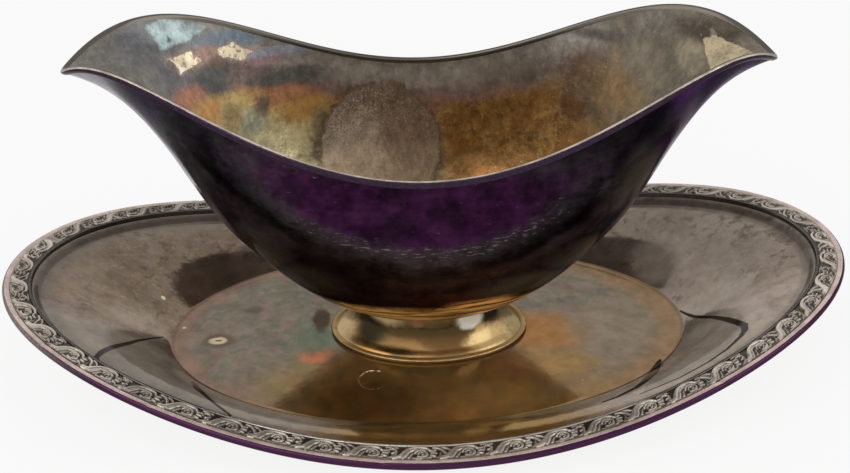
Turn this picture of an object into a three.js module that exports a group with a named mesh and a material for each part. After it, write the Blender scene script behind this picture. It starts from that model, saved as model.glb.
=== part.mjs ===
// Silver plated sauce boat with two lips, held by a stud to an oval stand.
// Millimetres, Z up. The table is at z = 0 and the stand lies along X.
import * as THREE from "three";

// stand
const standHalfLength = 120;
const standHalfWidth = 70.2;
const sheetThickness = 0.9;
const edgeHeightAtSides = 8.15;
const endRise = 19.3;
const riseFullness = 0.716;
const creaseHalfLength = 76.4;
const creaseHalfWidth = 45.7;
const bandSlopes = [1.4, 0.5]; // at the crease and at the wall, as shares of the mean slope
const bandSteps = 5;
const wallFootInward = 9.3;
const wallFootDrop = 3.4;
const flangeDrop = 1.3;
const flangeWidth = 7.9;
const pocketTopRadius = 9.5;
const pocketFootRadius = 13;
const pocketHeight = 5.5;

// border pieces, measured inward from the outline of the stand
const edgeWireWidth = 2.1;
const edgeWireHeight = 2.2;
const borderInner = 6.5;
const borderDome = 0.15;
const beadWidth = 0.8;
const fitGap = 0.3;

// bowl
const bowlTurn = THREE.MathUtils.degToRad(-1.98);
const bowlHalfLength = 93.9;
const bowlHalfWidth = 43.5;
const rimShift = -1.3;
const bottomShift = -0.6;
const planTaper = [0.027, 0.177, 0.048];
const rimHeight = [70.44, 53.5, -20.93, -18.77];
const wallThickness = 1.1;
const rimWireHeight = 1.3;
const bowlBottomZ = 16.83;
const bottomHalfLength = 13.9;
const bottomHalfWidth = 11;
const sideCurve = [0.388, 0, 0.973, 0.05];
const endCurve = [0.777, 0.1, 0.511, 0.854];
const wallSteps = 13;

// foot and what holds it
const footHalfLength = 29.4;
const footHalfWidth = 19.9;
const footWireWidth = 1.6;
const footWireHeight = 1.1;
const neckHalfLength = 17;
const neckHalfWidth = 12.5;
const footSheet = 0.9;
const studRadius = 2.5;
const bossRadius = 7;

const aroundStand = 84;
const aroundBowl = 84;
const aroundFoot = 56;

const edgeZ = (x) => {
  const u = Math.min(1, Math.abs(x) / standHalfLength);
  return edgeHeightAtSides + endRise * (u * u + riseFullness * (u * u - u ** 4));
};

// point of the stand's outline moved inward, with its height below the top of the edge
const edgePoint = (angle, inward, drop) => {
  const c = Math.cos(angle);
  const s = Math.sin(angle);
  const nx = standHalfWidth * c;
  const ny = standHalfLength * s;
  const n = Math.hypot(nx, ny);
  const x = standHalfLength * c - (inward * nx) / n;
  const y = standHalfWidth * s - (inward * ny) / n;
  return new THREE.Vector3(x, y, edgeZ(x) - drop);
};

// closed solid from one loop of points at each angle, or from axis to axis when capped
const loopSolid = (loopAt, around, capped = false) => {
  const loops = [];
  for (let i = 0; i < around; i += 1) {
    loops.push(loopAt((i / around) * Math.PI * 2));
  }
  const size = loops[0].length;
  const positions = [];
  const index = [];
  const first = capped ? 1 : 0;
  const last = capped ? size - 1 : size;
  const perLoop = last - first;
  for (const loop of loops) {
    for (let j = first; j < last; j += 1) {
      positions.push(loop[j].x, loop[j].y, loop[j].z);
    }
  }
  const steps = capped ? perLoop - 1 : perLoop;
  for (let i = 0; i < around; i += 1) {
    const here = i * perLoop;
    const next = ((i + 1) % around) * perLoop;
    for (let j = 0; j < steps; j += 1) {
      const k = (j + 1) % perLoop;
      index.push(here + j, next + j, next + k);
      index.push(here + j, next + k, here + k);
    }
  }
  if (capped) {
    const low = positions.length / 3;
    positions.push(loops[0][0].x, loops[0][0].y, loops[0][0].z);
    positions.push(loops[0][size - 1].x, loops[0][size - 1].y, loops[0][size - 1].z);
    for (let i = 0; i < around; i += 1) {
      const here = i * perLoop;
      const next = ((i + 1) % around) * perLoop;
      index.push(low, next, here);
      index.push(low + 1, here + perLoop - 1, next + perLoop - 1);
    }
  }
  const geometry = new THREE.BufferGeometry();
  geometry.setAttribute("position", new THREE.Float32BufferAttribute(positions, 3));
  geometry.setIndex(index);
  geometry.computeVertexNormals();
  return geometry;
};

// lower face of the sheet: each point moved square to both of its neighbouring faces
const lowerFace = (ringsAt, angle, thickness) => {
  const here = ringsAt(angle);
  const after = ringsAt(angle + 0.01);
  const before = ringsAt(angle - 0.01);
  const faces = [];
  for (let j = 0; j < here.length - 1; j += 1) {
    const along = here[j + 1].clone().sub(here[j]);
    const across = after[j].clone().add(after[j + 1]).sub(before[j]).sub(before[j + 1]);
    faces.push(along.cross(across).normalize());
  }
  return here.map((point, j) => {
    const a = faces[Math.max(0, j - 1)];
    const b = faces[Math.min(faces.length - 1, j)];
    const mid = a.clone().add(b).normalize();
    return point.clone().addScaledVector(mid, -thickness / mid.dot(a));
  });
};

const standTop = (angle) => {
  const c = Math.cos(angle);
  const s = Math.sin(angle);
  const oval = (a, b, z) => new THREE.Vector3(a * c, b * s, z);
  const floor = sheetThickness;
  const points = [
    oval(studRadius + fitGap, studRadius + fitGap, floor + pocketHeight),
    oval(pocketTopRadius, pocketTopRadius, floor + pocketHeight),
    oval(pocketFootRadius, pocketFootRadius, floor),
    oval(44, 27, floor),
    oval(creaseHalfLength, creaseHalfWidth, floor),
  ];
  const crease = points[points.length - 1].clone();
  const wallFoot = edgePoint(angle, wallFootInward, wallFootDrop);
  const [first, last] = bandSlopes;
  for (let i = 1; i <= bandSteps; i += 1) {
    const t = i / bandSteps;
    const rise = first * t + (3 - 2 * first - last) * t ** 2 + (first + last - 2) * t ** 3;
    const point = crease.clone().lerp(wallFoot, t);
    point.z = floor + (wallFoot.z - floor) * rise;
    points.push(point);
  }
  points.push(edgePoint(angle, flangeWidth, flangeDrop));
  points.push(edgePoint(angle, 5, flangeDrop));
  points.push(edgePoint(angle, edgeWireWidth + fitGap, flangeDrop));
  return points;
};

const standLoop = (angle) => {
  const top = standTop(angle);
  const bottom = lowerFace(standTop, angle, sheetThickness);
  const rim = top[top.length - 1];
  bottom[bottom.length - 1].set(rim.x, rim.y, rim.z - sheetThickness);
  const hole = top[0];
  bottom[0].set(hole.x, hole.y, hole.z - sheetThickness);
  for (const j of [2, 3, 4]) {
    bottom[j].z = 0;
  }
  return [...bottom, ...top.reverse()];
};

const edgeProfile = [
  [0.55, edgeWireHeight],
  [0.1, 1.75],
  [0, 1.1],
  [0.15, 0.5],
  [0.6, 0.08],
  [1.15, 0],
  [1.75, 0.2],
  [edgeWireWidth, 0.75],
  [edgeWireWidth, edgeWireHeight],
];

const borderOuter = edgeWireWidth + fitGap;
const borderProfile = [
  [borderInner, flangeDrop - fitGap],
  [borderOuter, flangeDrop - fitGap],
  [borderOuter, 0.3],
  [3.3, 0],
  [(borderOuter + borderInner) / 2, -borderDome],
  [5.6, 0],
  [borderInner, 0.3],
];

const beadOuter = borderInner + fitGap;
const beadProfile = [
  [beadOuter + beadWidth, flangeDrop - fitGap],
  [beadOuter, flangeDrop - fitGap],
  [beadOuter, 0.25],
  [beadOuter + beadWidth / 2, 0],
  [beadOuter + beadWidth, 0.3],
];

const edgeLoop = (profile) => (angle) =>
  profile.map(([inward, drop]) => edgePoint(angle, inward, drop));

// edge of the bowl: a long oval that rises to both lips and dips at their tips
const rimPoint = (angle) => {
  const u = Math.cos(angle);
  const taper = planTaper[0] * u ** 2 + planTaper[1] * u ** 4 + planTaper[2] * u ** 8;
  const half = bowlHalfWidth * Math.sin(angle) * (1 - taper);
  const z = rimHeight[0] + rimHeight[1] * u ** 2 + rimHeight[2] * u ** 4 + rimHeight[3] * u ** 6;
  return new THREE.Vector3(bowlHalfLength * u + rimShift, half, z);
};

// outer face of the bowl: full at the sides, hollow under the lips
const bowlPoint = (angle, s) => {
  const rim = rimPoint(angle);
  const foot = new THREE.Vector3(
    bottomHalfLength * Math.cos(angle) + bottomShift,
    bottomHalfWidth * Math.sin(angle),
    bowlBottomZ,
  );
  const lip = Math.cos(angle) ** 2;
  const mix = sideCurve.map((side, i) => side * (1 - lip) + endCurve[i] * lip);
  if (s < 0) {
    const t = 1 + s;
    const reach = Math.hypot(foot.x - bottomShift, foot.y);
    const run = Math.hypot(rim.x - foot.x, rim.y - foot.y);
    const slope = (mix[1] * (rim.z - foot.z)) / (mix[0] * run);
    const dip = slope * reach * (t ** 3 - t ** 2);
    const x = bottomShift + (foot.x - bottomShift) * t;
    return new THREE.Vector3(x, foot.y * t, foot.z + dip);
  }
  const q = 1 - s;
  const out = 3 * s * q * q * mix[0] + 3 * s * s * q * mix[2] + s ** 3;
  const up = 3 * s * q * q * mix[1] + 3 * s * s * q * mix[3] + s ** 3;
  return new THREE.Vector3(
    foot.x + (rim.x - foot.x) * out,
    foot.y + (rim.y - foot.y) * out,
    foot.z + (rim.z - foot.z) * up,
  );
};

// direction along the edge, up the wall and out of the wall at a point of the bowl
const bowlFrame = (angle, s) => {
  const step = 0.01;
  const along = bowlPoint(angle + step, s).sub(bowlPoint(angle - step, s)).normalize();
  const low = s < 0.02 ? s : s - 0.004;
  const high = s < 0.02 ? s + 0.004 : s;
  const up = bowlPoint(angle, high).sub(bowlPoint(angle, low));
  up.addScaledVector(along, -up.dot(along)).normalize();
  const out = along.clone().cross(up).normalize();
  return { along, up, out };
};

const wallEnd = (angle) => {
  const { up } = bowlFrame(angle, 1);
  const rate = bowlPoint(angle, 1).sub(bowlPoint(angle, 0.99)).dot(up) / 0.01;
  return 1 - (rimWireHeight + fitGap) / rate;
};

const bowlLoop = (angle) => {
  const outer = [new THREE.Vector3(bottomShift, 0, bowlBottomZ)];
  const inner = [new THREE.Vector3(bottomShift, 0, bowlBottomZ + wallThickness)];
  const stations = [-0.5, 0];
  const end = wallEnd(angle);
  for (let i = 1; i <= wallSteps; i += 1) {
    stations.push(end * (i / wallSteps) ** 0.9);
  }
  for (const s of stations) {
    const point = bowlPoint(angle, s);
    outer.push(point);
    if (s < 0) {
      inner.push(new THREE.Vector3(point.x, point.y, point.z + wallThickness));
    } else {
      const { out } = bowlFrame(angle, s);
      inner.push(point.clone().addScaledVector(out, -wallThickness));
    }
  }
  return [...outer, ...inner.reverse()];
};

const rimProfile = [
  [0.25, -rimWireHeight],
  [0.3, -0.45],
  [-0.05, -0.05],
  [-0.55, 0],
  [-1.05, -0.1],
  [-1.3, -0.5],
  [-1.25, -rimWireHeight],
];

const rimLoop = (angle) => {
  const { up, out } = bowlFrame(angle, 1);
  const rim = rimPoint(angle);
  return rimProfile.map(([side, height]) =>
    rim.clone().addScaledVector(out, side).addScaledVector(up, height),
  );
};

// foot: oval sheet that flares in a hollow curve from the neck to its flat wire
const footBase = sheetThickness + fitGap;
const footTop = bowlBottomZ - fitGap;
const footStations = [
  [0, 0],
  [0.1, 0.05],
  [0.3, 0.12],
  [0.55, 0.26],
  [0.78, 0.47],
  [0.93, 0.72],
  [1, 1],
];

const footLoop = (angle) => {
  const c = Math.cos(angle);
  const s = Math.sin(angle);
  const inset = footWireWidth + fitGap;
  const at = (share, rise, inward) => {
    const a = footHalfLength - inset + (neckHalfLength - footHalfLength + inset) * share;
    const b = footHalfWidth - inset + (neckHalfWidth - footHalfWidth + inset) * share;
    return new THREE.Vector3((a - inward) * c, (b - inward) * s, rise);
  };
  const height = footTop - footBase - footSheet;
  const outer = [at(0, footBase, 0)];
  const inner = [];
  for (const [share, rise] of footStations) {
    outer.push(at(share, footBase + footSheet + height * rise, 0));
    const thin = footSheet * (0.35 + 0.65 * rise);
    inner.push(at(share, footBase + height * rise + (rise === 1 ? footSheet : 0), thin));
  }
  return [...outer, ...inner.reverse()];
};

const footWireLoop = (angle) => {
  const c = Math.cos(angle);
  const s = Math.sin(angle);
  const profile = [
    [0.25, 0],
    [0, 0.25],
    [0, 0.7],
    [0.3, footWireHeight],
    [1.2, footWireHeight],
    [footWireWidth, 0.8],
    [footWireWidth, 0],
  ];
  const point = ([inward, rise]) =>
    new THREE.Vector3(
      (footHalfLength - inward) * c,
      (footHalfWidth - inward) * s,
      footBase + rise,
    );
  return profile.map(point);
};

const turned = (points, around) =>
  new THREE.LatheGeometry(
    points.map(([r, z]) => new THREE.Vector2(r, z)),
    around,
  ).rotateX(Math.PI / 2);

const pocketCeiling = pocketHeight;
const washerTop = pocketCeiling - fitGap;
const washerBottom = washerTop - 0.8;
const nutTop = washerBottom - fitGap;
const nutHeight = 3;
const bossTop = bowlBottomZ - 0.5;
const bossBottom = 11;
const bossHoleTop = bossTop - 1.4;

const bossGeometry = () =>
  turned(
    [
      [0, bossTop],
      [bossRadius - 0.5, bossTop],
      [bossRadius, bossTop - 0.5],
      [bossRadius, bossBottom + 0.5],
      [bossRadius - 0.5, bossBottom],
      [studRadius + fitGap, bossBottom],
      [studRadius + fitGap, bossHoleTop],
      [0, bossHoleTop],
    ].reverse(),
    40,
  );

const studGeometry = () =>
  turned(
    [
      [0, nutTop - nutHeight - 0.4],
      [studRadius - 0.4, nutTop - nutHeight - 0.4],
      [studRadius, nutTop - nutHeight],
      [studRadius, bossHoleTop - 0.7],
      [studRadius - 0.4, bossHoleTop - 0.3],
      [0, bossHoleTop - 0.3],
    ],
    32,
  );

const washerGeometry = () =>
  turned(
    [
      [studRadius + fitGap, washerBottom],
      [7.2, washerBottom],
      [7.5, washerBottom + 0.3],
      [7.5, washerTop],
      [studRadius + fitGap, washerTop],
      [studRadius + fitGap, washerBottom],
    ],
    40,
  );

const nutGeometry = () => {
  const shape = new THREE.Shape();
  for (let i = 0; i < 6; i += 1) {
    const a = (i / 6) * Math.PI * 2;
    const corner = [4.62 * Math.cos(a), 4.62 * Math.sin(a)];
    if (i === 0) {
      shape.moveTo(...corner);
    } else {
      shape.lineTo(...corner);
    }
  }
  shape.closePath();
  const hole = new THREE.Path();
  hole.absarc(0, 0, studRadius + fitGap, 0, Math.PI * 2, true);
  shape.holes.push(hole);
  const geometry = new THREE.ExtrudeGeometry(shape, {
    depth: nutHeight,
    bevelEnabled: false,
    curveSegments: 24,
  });
  return geometry.translate(0, 0, nutTop - nutHeight);
};

const group = new THREE.Group();
const add = (name, geometry, color, roughness) => {
  const material = new THREE.MeshStandardMaterial({ color, roughness, metalness: 1 });
  const mesh = new THREE.Mesh(geometry, material);
  mesh.name = name;
  group.add(mesh);
};

const turn = (geometry) => geometry.rotateZ(bowlTurn);

add("stand", loopSolid(standLoop, aroundStand), 0x8a8074, 0.25);
add("edge_wire", loopSolid(edgeLoop(edgeProfile), aroundStand), 0xa89f92, 0.3);
add("border", loopSolid(edgeLoop(borderProfile), aroundStand), 0x6f6b63, 0.4);
add("bead_wire", loopSolid(edgeLoop(beadProfile), aroundStand), 0xb0a898, 0.3);
add("bowl", turn(loopSolid(bowlLoop, aroundBowl, true)), 0x4a3f3a, 0.2);
add("rim_wire", turn(loopSolid(rimLoop, aroundBowl)), 0xb5aa98, 0.25);
add("foot", turn(loopSolid(footLoop, aroundFoot)), 0xa08a50, 0.2);
add("foot_wire", turn(loopSolid(footWireLoop, aroundFoot)), 0xb39a5c, 0.25);
add("boss", bossGeometry(), 0xa08a50, 0.4);
add("stud", studGeometry(), 0xa9a294, 0.4);
add("washer", washerGeometry(), 0xa9a294, 0.4);
add("nut", nutGeometry(), 0xa08a50, 0.4);

export default group;
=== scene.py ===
import math
import bpy
import numpy as np
from mathutils import Matrix, Vector


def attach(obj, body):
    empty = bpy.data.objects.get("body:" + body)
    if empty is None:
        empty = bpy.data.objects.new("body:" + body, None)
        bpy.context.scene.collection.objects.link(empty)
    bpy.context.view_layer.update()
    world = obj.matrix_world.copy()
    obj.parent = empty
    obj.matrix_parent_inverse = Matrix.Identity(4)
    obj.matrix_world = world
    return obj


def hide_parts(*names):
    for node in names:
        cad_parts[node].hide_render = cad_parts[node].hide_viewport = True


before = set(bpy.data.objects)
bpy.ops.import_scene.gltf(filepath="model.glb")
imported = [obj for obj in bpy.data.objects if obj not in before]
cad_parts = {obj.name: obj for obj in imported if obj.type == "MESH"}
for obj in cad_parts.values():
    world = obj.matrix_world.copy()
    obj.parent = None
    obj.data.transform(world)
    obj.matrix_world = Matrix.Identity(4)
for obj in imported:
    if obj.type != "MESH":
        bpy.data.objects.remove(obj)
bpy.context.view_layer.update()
mm = 0.001  # shapes are written in millimetres and made in metres
print("frame loaded,", len(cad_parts), "pieces")


# mesh helpers

def meshFrom(name, points, faces, sharpAngle=40):
    mesh = bpy.data.meshes.new(name)
    mesh.from_pydata((points * mm).tolist(), [], faces)
    mesh.update()
    mesh.shade_smooth()
    mesh.set_sharp_from_angle(angle=math.radians(sharpAngle))
    piece = bpy.data.objects.new(name, mesh)
    bpy.context.scene.collection.objects.link(piece)
    return piece


def skin(name, rows, closed=True, poles=False, sharpAngle=40):
    # rows[k][i] is a point: k goes over the section and i goes once round the piece
    count, around = rows.shape[:2]
    here = np.arange(around)
    after = (here + 1) % around
    faces = []
    steps = count if closed else count - 1
    for k in range(steps):
        low, high = k * around, ((k + 1) % count) * around
        faces.append(np.stack([low + here, low + after, high + after, high + here], -1))
    faces = np.concatenate(faces).tolist()
    points = rows.reshape(-1, 3)
    if poles:  # the middle of the first and last row is filled
        ends = np.stack([rows[0].mean(0), rows[-1].mean(0)])
        first, last = len(points), len(points) + 1
        points = np.concatenate([points, ends])
        top = (count - 1) * around
        faces += np.stack([np.full(around, first), after, here], -1).tolist()
        faces += np.stack([np.full(around, last), top + here, top + after], -1).tolist()
    return meshFrom(name, points, faces, sharpAngle)


def rounded(rows, radii, steps=4):
    # rounds the corners of a closed section, each to its own radius
    count = len(rows)
    out = []
    for k in range(count):
        here, before, after = rows[k], rows[k - 1], rows[(k + 1) % count]
        if not radii[k]:
            out.append(here)
            continue
        lengthIn = np.linalg.norm(before - here, axis=1, keepdims=True)
        lengthOut = np.linalg.norm(after - here, axis=1, keepdims=True)
        start = here + (before - here) * np.minimum(radii[k] / lengthIn, 0.48)
        end = here + (after - here) * np.minimum(radii[k] / lengthOut, 0.48)
        for t in np.linspace(0, 1, steps + 1):
            out.append(start * (1 - t) ** 2 + here * 2 * t * (1 - t) + end * t ** 2)
    return np.array(out)


def pointValue(piece, name, values):
    layer = piece.data.attributes.new(name, "FLOAT", "POINT")
    layer.data.foreach_set("value", np.asarray(values, np.float32).ravel())


def wave(values, low, high):
    t = np.clip((values - low) / (high - low), 0, 1)
    return t * t * (3 - 2 * t)


# node helpers

class Look:
    # a number, place or colour that nodes work out; a sum with it adds the node that the sum needs
    def __init__(self, socket):
        self.socket = socket

    def __add__(self, other):
        return calc("ADD", self, other)

    def __sub__(self, other):
        return calc("SUBTRACT", self, other)

    def __rsub__(self, other):
        return calc("SUBTRACT", other, self)

    def __mul__(self, other):
        return calc("MULTIPLY", self, other)

    def __truediv__(self, other):
        return calc("DIVIDE", self, other)

    def __abs__(self):
        return calc("ABSOLUTE", self)


def plug(value, socket):
    if isinstance(value, Look):
        socket.id_data.links.new(value.socket, socket)
    elif isinstance(value, (tuple, list)) and socket.type == "RGBA":
        socket.default_value = (*value, 1)
    else:
        socket.default_value = value


def newNode(kind, *values, **settings):
    # the values are plugged in from the top, and one of them at least is a Look
    first = next(value for value in values if isinstance(value, Look))
    node = first.socket.id_data.nodes.new("ShaderNode" + kind)
    for name, setting in settings.items():
        setattr(node, name, setting)
    for value, socket in zip(values, node.inputs):
        plug(value, socket)
    return node


def isNumber(value):
    return value.socket.type == "VALUE" if isinstance(value, Look) else isinstance(value, (int, float))


def calc(operation, *values):
    # on plain numbers, or on each axis where one of the values is a place or a colour
    kind = "Math" if all(isNumber(value) for value in values) else "VectorMath"
    return Look(newNode(kind, *values, operation=operation).outputs[0])


def larger(a, b):
    return calc("MAXIMUM", a, b)


def smaller(a, b):
    return calc("MINIMUM", a, b)


def clamped(value):
    return Look(newNode("Clamp", value).outputs[0])


def length(vector):
    return Look(newNode("VectorMath", vector, operation="LENGTH").outputs["Value"])


def dot(vector, other):
    return Look(newNode("VectorMath", vector, other, operation="DOT_PRODUCT").outputs["Value"])


def ease(value, low, high, low2=0.0, high2=1.0):
    # smooth step from low2 at low to high2 at high
    node = newNode("MapRange", value, low, high, low2, high2, interpolation_type="SMOOTHSTEP")
    return Look(node.outputs["Result"])


def blend(share, under, over):
    # share says how much of the colour over shows
    node = newNode("Mix", share, data_type="RGBA")
    plug(under, node.inputs["A"])
    plug(over, node.inputs["B"])
    return Look(node.outputs["Result"])


def axisOf(vector, axis):
    return Look(newNode("SeparateXYZ", vector).outputs["XYZ".index(axis)])


def joined(x, y, z):
    return Look(newNode("CombineXYZ", x, y, z).outputs[0])


def newMaterial(name):
    # with its shader, and the place on the object in millimetres
    material = bpy.data.materials.new(name)
    material.use_nodes = True
    nodes = material.node_tree.nodes
    metres = Look(nodes.new("ShaderNodeTexCoord").outputs["Object"])
    place = newNode("VectorMath", metres, operation="SCALE")
    place.inputs["Scale"].default_value = 1 / mm
    return material, nodes["Principled BSDF"], Look(place.outputs[0])


def valueOf(shader, name):
    # a value that the piece carries on its points
    node = shader.id_data.nodes.new("ShaderNodeAttribute")
    node.attribute_name = name
    return Look(node.outputs["Fac"])


def grain(place, size, detail=3.0, rough=0.55, stretch=None, warp=0.0):
    # cloudy noise with features of about that size in millimetres
    node = newNode("TexNoise", place * stretch if stretch else place)
    node.inputs["Scale"].default_value = 1 / size
    node.inputs["Detail"].default_value = detail
    node.inputs["Roughness"].default_value = rough
    node.inputs["Distortion"].default_value = warp
    return Look(node.outputs["Fac"])


def around(value, swing):
    # noise from 0 to 1 turned into a push of up to half the swing either way
    return (value - 0.5) * swing


def colourSteps(value, steps):
    node = newNode("ValToRGB", value)
    ramp = node.color_ramp
    while len(ramp.elements) < len(steps):
        ramp.elements.new(0.5)
    for element, (position, colour) in zip(ramp.elements, steps):
        element.position = position
        element.color = (*colour, 1)
    return Look(node.outputs["Color"])


def stain(at, size, colour, ragged, edge, strength=1.0):
    # at is its middle, size its half widths, ragged how uneven its outline is, and edge its softness
    return {"at": at, "size": size, "colour": colour, "ragged": ragged, "edge": edge, "strength": strength}


def spotShare(place, ragged, spot):
    # how much of a stain shows
    reach = length((place - spot["at"]) / spot["size"]) + around(ragged, spot.get("ragged", 0.6))
    edge = spot.get("edge", 0.5)
    return ease(reach, 1 + edge / 2, 1 - edge / 2, 0.0, spot.get("strength", 1.0))


def paintSpots(colour, place, ragged, spots):
    for spot in spots:
        colour = blend(spotShare(place, ragged, spot), colour, spot["colour"])
    return colour


def bumpOf(layers):
    # each layer is a height and the depth in millimetres that its full swing stands for
    normal = None
    for height, depth in layers:
        node = height.socket.id_data.nodes.new("ShaderNodeBump")
        node.inputs["Strength"].default_value = 1
        node.inputs["Distance"].default_value = depth * mm
        plug(height, node.inputs["Height"])
        if normal:
            plug(normal, node.inputs["Normal"])
        normal = Look(node.outputs["Normal"])
    return normal


# camera, floor and light

photoView = {
    "place": (-14.455, -261.107, 177.638),  # millimetres, in the part's own frame
    "right": (0.998172, -0.059111, -0.012581),
    "up": (0.039775, 0.48583, 0.873148),
    "lens": 44.069,
    "sensorWidth": 36,
}


def makeCamera():
    data = bpy.data.cameras.new("photoCamera")
    data.lens = photoView["lens"]
    data.sensor_width = photoView["sensorWidth"]
    data.clip_start = 0.01
    camera = bpy.data.objects.new("photoCamera", data)
    bpy.context.scene.collection.objects.link(camera)
    right = Vector(photoView["right"]).normalized()
    up = Vector(photoView["up"]).normalized()
    back = right.cross(up)
    camera.matrix_world = Matrix((right, up, back)).transposed().to_4x4()
    camera.location = Vector(photoView["place"]) * mm
    bpy.context.scene.camera = camera


studio = {
    "floorSize": 6.0,
    "floorColour": (0.8, 0.8, 0.8),
    "floorShown": 0.86,  # share of the floor that is plain white to the camera and to metal
    "skyLow": (1.0, 1.0, 1.0),
    "skyHigh": (0.68, 0.68, 0.68),
    "skyLight": 0.76,  # its strength as a light, while it's seen at full strength
    "lamps": [
        {"name": "windowLamp", "at": (-0.75, -0.95, 1.2), "size": (1.5, 1.5), "power": 10.0},
        {"name": "fillLamp", "at": (1.0, -0.55, 0.9), "size": (0.8, 0.8), "power": 3.0},
    ],
}


def seenDirectly(tree):
    # 1 where the camera, metal or glass looks straight at it
    rays = tree.nodes.new("ShaderNodeLightPath").outputs
    camera, metal, glass = [Look(rays["Is " + ray + " Ray"]) for ray in ("Camera", "Glossy", "Transmission")]
    return larger(larger(camera, metal), glass)


def makeStudio():
    half = studio["floorSize"] / 2
    corners = np.array([[-half, -half, 0], [half, -half, 0], [half, half, 0], [-half, half, 0]])
    floor = meshFrom("floor", corners / mm, [(0, 1, 2, 3)])
    material = bpy.data.materials.new("paleFloor")
    material.use_nodes = True
    tree = material.node_tree
    tree.nodes.remove(tree.nodes["Principled BSDF"])
    matt = tree.nodes.new("ShaderNodeBsdfDiffuse")
    matt.inputs["Color"].default_value = (*studio["floorColour"], 1)
    white = tree.nodes.new("ShaderNodeEmission")
    both = tree.nodes.new("ShaderNodeMixShader")
    plug(seenDirectly(tree) * studio["floorShown"], both.inputs[0])
    tree.links.new(matt.outputs[0], both.inputs[1])
    tree.links.new(white.outputs[0], both.inputs[2])
    tree.links.new(both.outputs[0], tree.nodes["Material Output"].inputs[0])
    floor.data.materials.append(material)

    world = bpy.data.worlds.new("studioWorld")
    bpy.context.scene.world = world
    world.use_nodes = True
    tree = world.node_tree
    height = axisOf(Look(tree.nodes.new("ShaderNodeTexCoord").outputs["Generated"]), "Z")
    sky = blend(ease(height, 0.1, 0.9), studio["skyLow"], studio["skyHigh"])
    background = tree.nodes["Background"]
    plug(sky, background.inputs["Color"])
    plug(ease(seenDirectly(tree), 0, 1, studio["skyLight"], 1.0), background.inputs["Strength"])

    for lamp in studio["lamps"]:
        data = bpy.data.lights.new(lamp["name"], "AREA")
        data.shape = "RECTANGLE"
        data.size, data.size_y = lamp["size"]
        data.energy = lamp["power"]
        light = bpy.data.objects.new(lamp["name"], data)
        light.location = lamp["at"]
        light.rotation_mode = "QUATERNION"
        light.rotation_quaternion = (-light.location).to_track_quat("-Z", "Y")
        bpy.context.scene.collection.objects.link(light)


bpy.context.scene.view_settings.view_transform = "Standard"
makeCamera()
makeStudio()
print("camera, floor and light made")


# stand

standOutline = {
    "halfLength": 120,
    "halfWidth": 70.2,
    "heightAtSides": 8.15,
    "endRise": 19.3,
    "riseFullness": 0.716,  # how much sooner than a plain square the rise comes
}


def outlinePoint(angle, inward, drop):
    # point of the stand's edge moved inward, and down from the top of the edge
    length, width = standOutline["halfLength"], standOutline["halfWidth"]
    c, s = np.cos(angle), np.sin(angle)
    reach = np.hypot(width * c, length * s)
    x = length * c - inward * width * c / reach
    y = width * s - inward * length * s / reach
    u = np.minimum(1, np.abs(x) / length)
    rise = u ** 2 + standOutline["riseFullness"] * (u ** 2 - u ** 4)
    z = standOutline["heightAtSides"] + standOutline["endRise"] * rise - drop
    return np.stack([x, y, z + 0 * x], -1)


def turnAngles(count):
    return np.arange(count) / count * 2 * math.pi


def ovalRow(angle, halfLength, halfWidth, z):
    return np.stack([halfLength * np.cos(angle), halfWidth * np.sin(angle), z + 0 * angle], -1)


def insetOf(angle, rows):
    # distance inward from the stand's edge, seen from above
    return np.linalg.norm((outlinePoint(angle, 0, 0) - rows)[:, :, :2], axis=2)


standPlate = {
    "thickness": 0.9,
    "creaseHalfLength": 76.4,
    "creaseHalfWidth": 45.7,
    "bandSlopes": (1.4, 0.5),  # at the crease and at the wall, as shares of the mean slope
    "bandRows": 26,
    "wallFoot": (9.3, 3.4),  # inward and drop of the foot of the small wall inside the bead
    "wallTop": (7.9, 1.3),
    "lipEnd": 2.4,  # inward, where the plate ends under the border
    "holeRadius": 2.8,
    "pocket": (9.5, 13.0, 5.5),  # top radius, foot radius, height
    "floorRow": (44, 27),  # half length and width of a row halfway over the flat floor
    "underShift": 0.4,  # sideways from a corner of the upper face to that of the lower one
    "around": 420,
}


def standRows(angle, under):
    # rows over the upper face, or the lower one, from the middle hole to the edge, each with the
    # radius that its corner is rounded to
    p = standPlate
    top = p["thickness"]
    thick = top if under else 0
    shift = p["underShift"] if under else 0
    hole, (pocketTop, pocketFoot, pocketHeight) = p["holeRadius"], p["pocket"]
    rows = [
        (ovalRow(angle, hole, hole, top + pocketHeight - thick), 0),
        (ovalRow(angle, pocketTop - shift, pocketTop - shift, top + pocketHeight - thick), 1.2),
        (ovalRow(angle, pocketFoot - shift, pocketFoot - shift, top - thick), 1.2),
        (ovalRow(angle, *p["floorRow"], top - thick), 0),
    ]
    crease = ovalRow(angle, p["creaseHalfLength"] + shift / 2, p["creaseHalfWidth"] + shift / 2, top)
    inward, drop = p["wallFoot"]
    foot = outlinePoint(angle, inward, drop)
    rows.append((crease - [0, 0, thick], 1.6))
    first, last = p["bandSlopes"]
    for t in np.linspace(0, 1, p["bandRows"] + 1)[1:]:
        share = first * t + (3 - 2 * first - last) * t ** 2 + (first + last - 2) * t ** 3
        row = crease * (1 - t) + foot * t
        row[:, 2] = top + (foot[:, 2] - top) * share - thick * 1.05
        rows.append((row, 0.7 if t == 1 else 0))
    inward, drop = p["wallTop"]
    rows.append((outlinePoint(angle, inward - shift, drop + thick), 0.35))
    rows.append((outlinePoint(angle, p["lipEnd"], drop + thick), 0))
    return rows


def makeStand():
    angle = turnAngles(standPlate["around"])
    above = standRows(angle, False)
    below = standRows(angle, True)
    rows = below + above[::-1]
    section = rounded(np.array([row for row, radius in rows]), [radius for row, radius in rows])
    piece = skin("standPlate", section)
    pointValue(piece, "fromEdge", np.minimum(insetOf(angle, section), 40))
    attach(piece, "root")
    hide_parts("stand")
    return piece


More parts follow.
